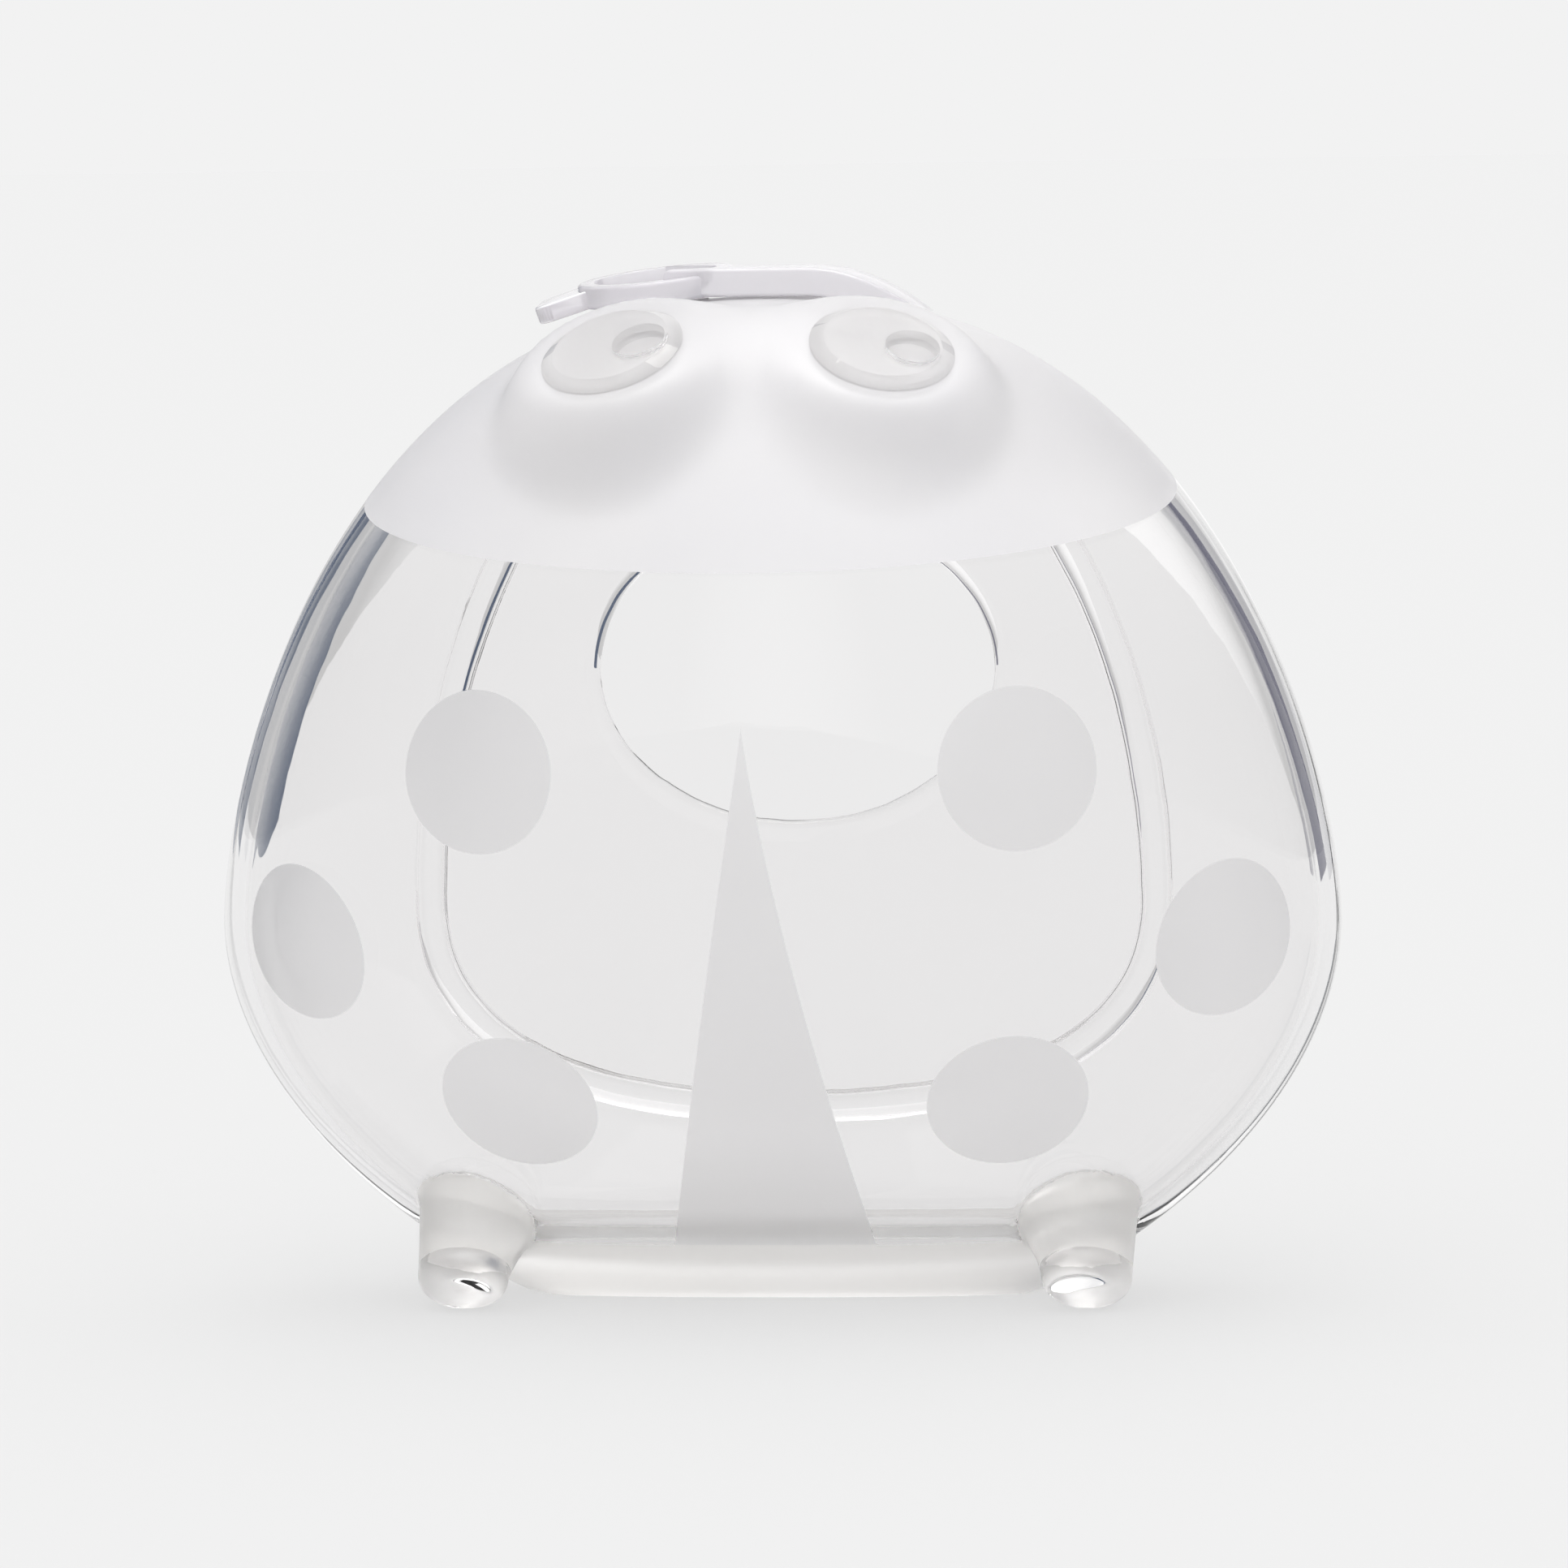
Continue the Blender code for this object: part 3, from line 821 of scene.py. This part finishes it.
def mixValue(tree, factor, a, b):
    node = tree.nodes.new("ShaderNodeMix")
    node.data_type = "FLOAT"
    tree.links.new(factor, node.inputs["Factor"])
    for socket, item in ((node.inputs[2], a), (node.inputs[3], b)):
        if isinstance(item, (int, float)):
            socket.default_value = item
        else:
            tree.links.new(item, socket)
    return node.outputs[0]


def outerMaterial():
    material, tree, shader = siliconeShader("frostedAndClearSkin", clearLook["rough"], clearLook["tint"])
    mask = tree.nodes.new("ShaderNodeGroup")
    mask.node_tree = frostMask()
    colour = mixColour(tree, mask.outputs["Mask"], clearLook["tint"], clearLook["frostTint"])
    tree.links.new(colour, shader.inputs["Base Color"])
    rough = mixValue(tree, mask.outputs["Mask"], clearLook["rough"], clearLook["frostRough"])
    tree.links.new(rough, shader.inputs["Roughness"])
    gentleWaves(tree, shader, scale=55.0, strength=0.25, distance=0.0003)
    return material


def hazyMaterial():
    # solid silicone reads milky where it is thick
    material, tree, shader = siliconeShader("milkyBase", clearLook["baseRough"], clearLook["baseTint"])
    shader.inputs["Transmission Weight"].default_value = clearLook["baseThrough"]
    noise = gentleWaves(tree, shader, scale=70.0, strength=0.2, distance=0.0003)
    tone = mixColour(tree, noise.outputs["Fac"], clearLook["baseTint"], clearLook["baseCool"])
    tree.links.new(tone, shader.inputs["Base Color"])
    return material


def crownMaterial():
    material, tree, shader = siliconeShader("frostedCrown", clearLook["frostRough"], clearLook["crownTint"])
    shader.inputs["Transmission Weight"].default_value = clearLook["crownThrough"]
    place = tree.nodes.new("ShaderNodeTexCoord")
    grain = tree.nodes.new("ShaderNodeTexNoise")
    grain.inputs["Scale"].default_value = clearLook["grainScale"]
    grain.inputs["Detail"].default_value = 2.0
    tree.links.new(place.outputs["Object"], grain.inputs["Vector"])
    bump = tree.nodes.new("ShaderNodeBump")
    bump.inputs["Strength"].default_value = clearLook["grainStrength"]
    bump.inputs["Distance"].default_value = clearLook["grainDepth"]
    tree.links.new(grain.outputs["Fac"], bump.inputs["Height"])
    tree.links.new(bump.outputs["Normal"], shader.inputs["Normal"])
    cloud = tree.nodes.new("ShaderNodeTexNoise")
    cloud.inputs["Scale"].default_value = clearLook["cloudScale"]
    tree.links.new(place.outputs["Object"], cloud.inputs["Vector"])
    tone = mixColour(tree, cloud.outputs["Fac"], clearLook["crownTint"], clearLook["crownCool"])
    tree.links.new(tone, shader.inputs["Base Color"])
    return material


def innerMaterial():
    material, tree, shader = siliconeShader("clearInside", clearLook["rough"], clearLook["tint"])
    gentleWaves(tree, shader, scale=40.0, strength=0.15, distance=0.0003)
    return material


def polishedMaterial(name):
    material, tree, shader = siliconeShader(name, clearLook["eyeRough"], clearLook["eyeTint"])
    gentleWaves(tree, shader, scale=30.0, strength=0.05, distance=0.0002)
    return material


def strapMaterial():
    # thick soft silicone with a faint cool haze
    material, tree, shader = siliconeShader("hazyStrap", clearLook["strapRough"], clearLook["strapTint"])
    shader.inputs["Transmission Weight"].default_value = clearLook["strapThrough"]
    noise = gentleWaves(tree, shader, scale=90.0, strength=0.1, distance=0.0002)
    tone = mixColour(tree, noise.outputs["Fac"], clearLook["strapTint"], clearLook["strapWarm"])
    tree.links.new(tone, shader.inputs["Base Color"])
    return material


def crownHeight(x):
    share = (1.0 - (abs(x) / body["halfWidth"]) ** body["crownRound"]) ** (1.0 / body["crownRise"])
    return body["widestHeight"] + (body["top"] - body["widestHeight"]) * share


def closureFrame():
    turn = Matrix.Rotation(math.radians(-closure["tilt"]), 4, "Y")
    place = Matrix.Translation((closure["holeX"], closure["y"], crownHeight(closure["holeX"])))
    return place @ turn


def eyeDisc(side):
    r, t = eyes["radius"], eyes["thickness"]
    rim = eyes["rim"]
    low = t - rim / 2
    profile = [(0, -eyes["sunk"]), (r, -eyes["sunk"]), (r, low - 0.0001)]
    profile += [(r - 0.00015, low), (r - rim, t), (0, t)]
    return placed(turned(profile), eyeFrame(side))


def pupilPocket(side):
    bm = coneAlong(eyes["pupilRadius"], eyes["pupilRadius"] + 0.0001, 0.004, 64)
    shift = Matrix.Translation((eyes["pupilOffset"], 0, eyes["thickness"] - eyes["pupilDepth"]))
    return placed(bm, eyeFrame(side) @ shift)


def makeBody():
    finishes = (outerMaterial(), innerMaterial(), crownMaterial(), hazyMaterial())
    thing = newObject("bodyShell", bodySkin(), *finishes)
    # the feet stop short of the hollow before they join the skin
    for side in (-1, 1):
        foot = newObject("foot", footSolid(side))
        joinSolids(foot, [cavitySolid(feet["cavityGap"])], "DIFFERENCE")
        solid = bmesh.new()
        solid.from_mesh(foot.data)
        bpy.data.objects.remove(foot)
        joinSolids(thing, [solid])
    place = closureFrame()
    collar = coneAlong(closure["collarRadius"], closure["collarRadius"], closure["collarLength"])
    low = -closure["collarLength"] + 0.0002
    joinSolids(thing, [placed(collar, place @ Matrix.Translation((0, 0, low)))])
    bore = coneAlong(closure["bore"], closure["bore"], 3 * closure["collarLength"])
    bore = placed(bore, place @ Matrix.Translation((0, 0, -2 * closure["collarLength"])))
    joinSolids(thing, [bore], "DIFFERENCE")
    bm = bmesh.new()
    bm.from_mesh(thing.data)
    softenSeams(bm)
    splitCrown(bm)
    splitBase(bm)
    bm.to_mesh(thing.data)
    bm.free()
    thing.data.shade_smooth()
    thing.data.set_sharp_from_angle(angle=smoothBelow)
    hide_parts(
        "front_shell", "back_shell", "head_cap", "base_pad", "seal_rim", "breast_dish",
        "foot_left", "foot_right", "spout_collar",
    )
    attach(thing, "collector")
    return thing


def makeEyes():
    for word, side in (("left", -1), ("right", 1)):
        disc = newObject("eyeDisc_" + word, eyeDisc(side), polishedMaterial("eyeClear_" + word))
        joinSolids(disc, [pupilPocket(side)], "DIFFERENCE")
        disc.data.shade_smooth()
        disc.data.set_sharp_from_angle(angle=math.radians(20))
        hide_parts("eye_" + word, "pupil_" + word)
        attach(disc, "collector")


def strapHeight(x):
    run = max(x - closure["bendX"], 0.0) / (closure["hingeX"] - closure["bendX"])
    return closure["strapTop"] - closure["bendDrop"] * run ** 2


def bandTree():
    # a rounded band swept along a path, with its sizes as inputs
    tree = bpy.data.node_groups.new("roundedBand", "GeometryNodeTree")
    tree.interface.new_socket("Path", in_out="INPUT", socket_type="NodeSocketGeometry")
    for label in ("Width", "Thickness", "Round Edge"):
        tree.interface.new_socket(label, in_out="INPUT", socket_type="NodeSocketFloat")
    tree.interface.new_socket("Finish", in_out="INPUT", socket_type="NodeSocketMaterial")
    tree.interface.new_socket("Band", in_out="OUTPUT", socket_type="NodeSocketGeometry")
    given = tree.nodes.new("NodeGroupInput")
    result = tree.nodes.new("NodeGroupOutput")
    path = tree.nodes.new("GeometryNodeMeshToCurve")
    upright = tree.nodes.new("GeometryNodeSetCurveNormal")
    upright.mode = "Z_UP"
    section = tree.nodes.new("GeometryNodeCurvePrimitiveQuadrilateral")
    corners = tree.nodes.new("GeometryNodeFilletCurve")
    corners.mode = "POLY"
    corners.inputs["Count"].default_value = 5
    corners.inputs["Limit Radius"].default_value = True
    sweep = tree.nodes.new("GeometryNodeCurveToMesh")
    sweep.inputs["Fill Caps"].default_value = True
    real = tree.nodes.new("GeometryNodeRealizeInstances")
    paint = tree.nodes.new("GeometryNodeSetMaterial")
    for source, target in (
        (given.outputs["Path"], path.inputs["Mesh"]),
        (path.outputs["Curve"], upright.inputs["Curve"]),
        (given.outputs["Width"], section.inputs["Width"]),
        (given.outputs["Thickness"], section.inputs["Height"]),
        (section.outputs["Curve"], corners.inputs["Curve"]),
        (given.outputs["Round Edge"], corners.inputs["Radius"]),
        (upright.outputs["Curve"], sweep.inputs["Curve"]),
        (corners.outputs["Curve"], sweep.inputs["Profile Curve"]),
        (sweep.outputs["Mesh"], real.inputs["Geometry"]),
        (real.outputs["Geometry"], paint.inputs["Geometry"]),
        (given.outputs["Finish"], paint.inputs["Material"]),
        (paint.outputs["Geometry"], result.inputs["Band"]),
    ):
        tree.links.new(source, target)
    return tree


def strapBand(material):
    # the band follows the strap's curve from the cap to just past the hinge
    steps = closure["pathSteps"]
    half = closure["strapThickness"] / 2
    highX = closure["hingeX"] + closure["rootLength"]
    points = []
    for i in range(steps + 1):
        x = closure["holeX"] + (highX - closure["holeX"]) * i / steps
        points.append((x, closure["y"], strapHeight(x) - half))
    mesh = bpy.data.meshes.new("closureStrap")
    mesh.from_pydata(points, [(i, i + 1) for i in range(steps)], [])
    thing = bpy.data.objects.new("closureStrap", mesh)
    bpy.context.scene.collection.objects.link(thing)
    tree = bandTree()
    step = thing.modifiers.new("band", "NODES")
    step.node_group = tree
    sockets = {item.name: item.identifier for item in tree.interface.items_tree if item.in_out == "INPUT"}
    step[sockets["Width"]] = closure["strapWidth"]
    step[sockets["Thickness"]] = closure["strapThickness"]
    step[sockets["Round Edge"]] = closure["roundEdge"]
    step[sockets["Finish"]] = material
    graph = bpy.context.evaluated_depsgraph_get()
    thing.data = bpy.data.meshes.new_from_object(thing.evaluated_get(graph))
    thing.modifiers.clear()
    return thing


def underCrown():
    # the crown's top line as a block, to trim the strap where it meets the crown
    bm = bmesh.new()
    rows = []
    steps = closure["pathSteps"]
    lowX, highX, reach, bottom = -0.020, 0.025, 0.02, 0.08
    for i in range(steps + 1):
        x = lowX + (highX - lowX) * i / steps
        top = crownHeight(x) + closure["clearance"]
        corners = ((-reach, top), (reach, top), (reach, bottom), (-reach, bottom))
        rows.append([bm.verts.new((x, y, z)) for y, z in corners])
    for low, high in zip(rows, rows[1:]):
        bridge(bm, low, high)
    bm.faces.new(rows[0])
    bm.faces.new(list(reversed(rows[-1])))
    bmesh.ops.recalc_face_normals(bm, faces=bm.faces)
    return bm


def capSolid():
    r, t, e = closure["capRadius"], closure["capThickness"], closure["roundEdge"]
    dr, dd = closure["dishRadius"], closure["dishDepth"]
    soft, steps = closure["dishEdge"], closure["roundSteps"]
    profile = [(0, 0), (r - e, 0)]
    for k in range(1, steps + 1):
        a = math.pi / 2 * k / steps
        profile.append((r - e + e * math.sin(a), e - e * math.cos(a)))
    for k in range(steps + 1):
        a = math.pi / 2 * k / steps
        profile.append((r - e + e * math.cos(a), t - e + e * math.sin(a)))
    profile += [(dr + soft, t), (dr, t - soft), (dr - soft, t - dd), (0, t - dd)]
    return turned(profile)


def tabSolid():
    bm = bmesh.new()
    bmesh.ops.create_cube(bm, size=1.0)
    length, thickness = closure["tabLength"], closure["tabThickness"]
    bmesh.ops.scale(bm, vec=(length, closure["tabWidth"], thickness), verts=bm.verts)
    bmesh.ops.translate(bm, vec=(-length / 2, 0, -thickness / 2), verts=bm.verts)
    upright = [e for e in bm.edges if abs(e.verts[0].co.z - e.verts[1].co.z) > thickness / 2]
    upright = [e for e in upright if e.verts[0].co.x < -length / 2]
    bmesh.ops.bevel(bm, geom=upright, offset=closure["tabCorner"], segments=8, profile=0.5, affect="EDGES")
    bmesh.ops.bevel(
        bm, geom=list(bm.edges), offset=closure["tabEdge"], segments=3, profile=0.5, affect="EDGES"
    )
    bmesh.ops.recalc_face_normals(bm, faces=bm.faces)
    return bm


def makeClosure():
    nod = Matrix.Rotation(math.radians(closure["nod"]), 4, "X")
    place = closureFrame() @ Matrix.Translation((0, 0, closure["capLift"])) @ nod
    thing = strapBand(strapMaterial())
    joinSolids(thing, [underCrown()], "DIFFERENCE")
    cap = placed(capSolid(), place)
    clear = coneAlong(closure["dishRadius"], closure["dishRadius"], 0.01, 96)
    dishFloor = Matrix.Translation((0, 0, closure["capThickness"] - closure["dishDepth"]))
    clear = placed(clear, place @ dishFloor)
    lean = Matrix.Rotation(math.radians(-(closure["tabPitch"] - closure["tilt"])), 4, "Y")
    shoulder = Matrix.Translation(
        (closure["tabOverlap"] - closure["capRadius"], 0, closure["capThickness"] - closure["tabEdge"])
    )
    tab = placed(tabSolid(), place @ shoulder @ lean)
    plugRadius = closure["plugRadius"]
    plug = coneAlong(plugRadius - closure["plugTaper"], plugRadius, closure["plugLength"], 48)
    plug = placed(plug, place @ Matrix.Translation((0, 0, -closure["plugLength"] + 0.0002)))
    joinSolids(thing, [clear], "DIFFERENCE")
    joinSolids(thing, [cap, tab, plug])
    thing.data.shade_smooth()
    thing.data.set_sharp_from_angle(angle=smoothBelow)
    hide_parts("closure_strap", "strap_root", "stopper_ring", "stopper_plug", "pull_tab")
    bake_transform(thing)


studio = dict(
    seen=0.888,
    behind=1.05,
    sides=0.58,
    sideSpread=0.27,
    sidePower=1.8,
    overhead=1.2,
    front=0.48,
    floorShade=0.22,
    floorLight=1.48,
    floorThrough=0.87,
    flagFoot=0.004,
    yaw=5.9,
    elevation=5.0,
    roll=0.9,
    distance=0.9,
    aimSide=0.00055,
    aimHeight=0.05126,
    frameWidth=0.1564,
    bounces=24,
    floorSize=6.0,
    flagDistance=0.9,
    flagTall=0.8,
    flags=(("leftFlag", -28.5, 0.18, (0.025, 0.055, 0.12)), ("rightFlag", 31.0, 0.20, (0.13, 0.13, 0.18))),
    lampColour=(1.0, 0.985, 0.955),
    lampStrength=6.0,
    lampHeight=0.75,
)


def flatLight(name, colour, strength):
    material = bpy.data.materials.new(name)
    material.use_nodes = True
    tree = material.node_tree
    tree.nodes.clear()
    glow = tree.nodes.new("ShaderNodeEmission")
    glow.inputs["Color"].default_value = (*colour, 1)
    glow.inputs["Strength"].default_value = strength
    output = tree.nodes.new("ShaderNodeOutputMaterial")
    tree.links.new(glow.outputs[0], output.inputs["Surface"])
    return material


def card(name, width, height, centre, facing, material):
    # a card that only shows in the silicone's reflections and refractions
    bm = bmesh.new()
    bmesh.ops.create_grid(bm, x_segments=1, y_segments=1, size=0.5)
    bmesh.ops.scale(bm, vec=(width, height, 1), verts=bm.verts)
    turn = Vector(facing).normalized().to_track_quat("Z", "Y").to_matrix().to_4x4()
    placed(bm, Matrix.Translation(centre) @ turn)
    thing = newObject(name, bm, material)
    thing.visible_camera = False
    thing.visible_diffuse = False
    thing.visible_shadow = False
    return thing


def makeStudio():
    scene = bpy.context.scene
    scene.view_settings.view_transform = "Standard"
    scene.cycles.max_bounces = studio["bounces"]
    scene.cycles.transmission_bounces = studio["bounces"]
    scene.cycles.glossy_bounces = 8
    world = bpy.data.worlds.new("softRoom")
    scene.world = world
    world.use_nodes = True
    tree = world.node_tree
    background = tree.nodes["Background"]
    background.inputs["Color"].default_value = (1, 1, 1, 1)
    # the room is darker at its sides, lighter overhead and in front
    place = tree.nodes.new("ShaderNodeTexCoord")
    split = tree.nodes.new("ShaderNodeSeparateXYZ")
    tree.links.new(place.outputs["Generated"], split.inputs[0])
    side = maths(tree, "ABSOLUTE", split.outputs["X"])
    side = maths(tree, "MULTIPLY", side, 1 / studio["sideSpread"], clamp=True)
    side = maths(tree, "POWER", side, studio["sidePower"])
    room = mixValue(tree, side, studio["behind"], studio["sides"])
    over = maths(tree, "SUBTRACT", split.outputs["Z"], 0.25)
    over = maths(tree, "MULTIPLY", over, studio["overhead"] / 0.75)
    over = maths(tree, "MAXIMUM", over, 0.0)
    room = maths(tree, "ADD", room, over)
    front = maths(tree, "MULTIPLY", split.outputs["Y"], -studio["front"], clamp=True)
    room = maths(tree, "ADD", room, front)
    path = tree.nodes.new("ShaderNodeLightPath")
    level = mixValue(tree, path.outputs["Is Camera Ray"], room, studio["seen"])
    tree.links.new(level, background.inputs["Strength"])

    floor = bpy.data.materials.new("paleFloor")
    floor.use_nodes = True
    tree = floor.node_tree
    tree.nodes.clear()
    path = tree.nodes.new("ShaderNodeLightPath")
    glow = tree.nodes.new("ShaderNodeEmission")
    paper = tree.nodes.new("ShaderNodeBsdfDiffuse")
    shade = studio["floorShade"]
    full = studio["seen"] - shade * studio["floorLight"]
    through = studio["floorThrough"] - shade * studio["floorLight"]
    level = mixValue(tree, path.outputs["Is Camera Ray"], through, full)
    tree.links.new(level, glow.inputs["Strength"])
    paper.inputs["Color"].default_value = (shade, shade, shade, 1)
    both = tree.nodes.new("ShaderNodeAddShader")
    tree.links.new(glow.outputs[0], both.inputs[0])
    tree.links.new(paper.outputs[0], both.inputs[1])
    output = tree.nodes.new("ShaderNodeOutputMaterial")
    tree.links.new(both.outputs[0], output.inputs["Surface"])
    bm = bmesh.new()
    bmesh.ops.create_grid(bm, x_segments=1, y_segments=1, size=studio["floorSize"])
    newObject("paleFloor", bm, floor)

    # two narrow dark flags stand far behind, one on each side
    for name, turn, width, colour in studio["flags"]:
        turn = math.radians(turn)
        away = Vector((math.sin(turn), math.cos(turn), 0.0))
        centre = away * studio["flagDistance"] + Vector((0, 0, studio["flagTall"] / 2 + studio["flagFoot"]))
        card(name, width, studio["flagTall"], centre, -away, flatLight(name, colour, 1.0))
    lamp = flatLight("softLamp", studio["lampColour"], studio["lampStrength"])
    card("topLamp", 0.5, 0.35, (0.0, -0.05, studio["lampHeight"]), (0, 0, -1), lamp)

    camera = bpy.data.cameras.new("photoView")
    camera.sensor_width = 36.0
    camera.lens = 36.0 * studio["distance"] / studio["frameWidth"]
    camera.clip_start = 0.01
    view = bpy.data.objects.new("photoView", camera)
    scene.collection.objects.link(view)
    yaw = math.radians(studio["yaw"])
    tip = math.radians(studio["elevation"])
    away = Vector((math.sin(yaw) * math.cos(tip), -math.cos(yaw) * math.cos(tip), math.sin(tip)))
    across = studio["aimSide"]
    aim = Vector((across * math.cos(yaw), across * math.sin(yaw), studio["aimHeight"]))
    view.location = aim + away * studio["distance"]
    roll = Matrix.Rotation(math.radians(-studio["roll"]), 3, "Z")
    view.rotation_euler = ((-away).to_track_quat("-Z", "Y").to_matrix() @ roll).to_euler()
    scene.camera = view


makeStudio()
print("studio ready")
makeBody()
print("body ready")
makeEyes()
makeClosure()
print("closure ready")
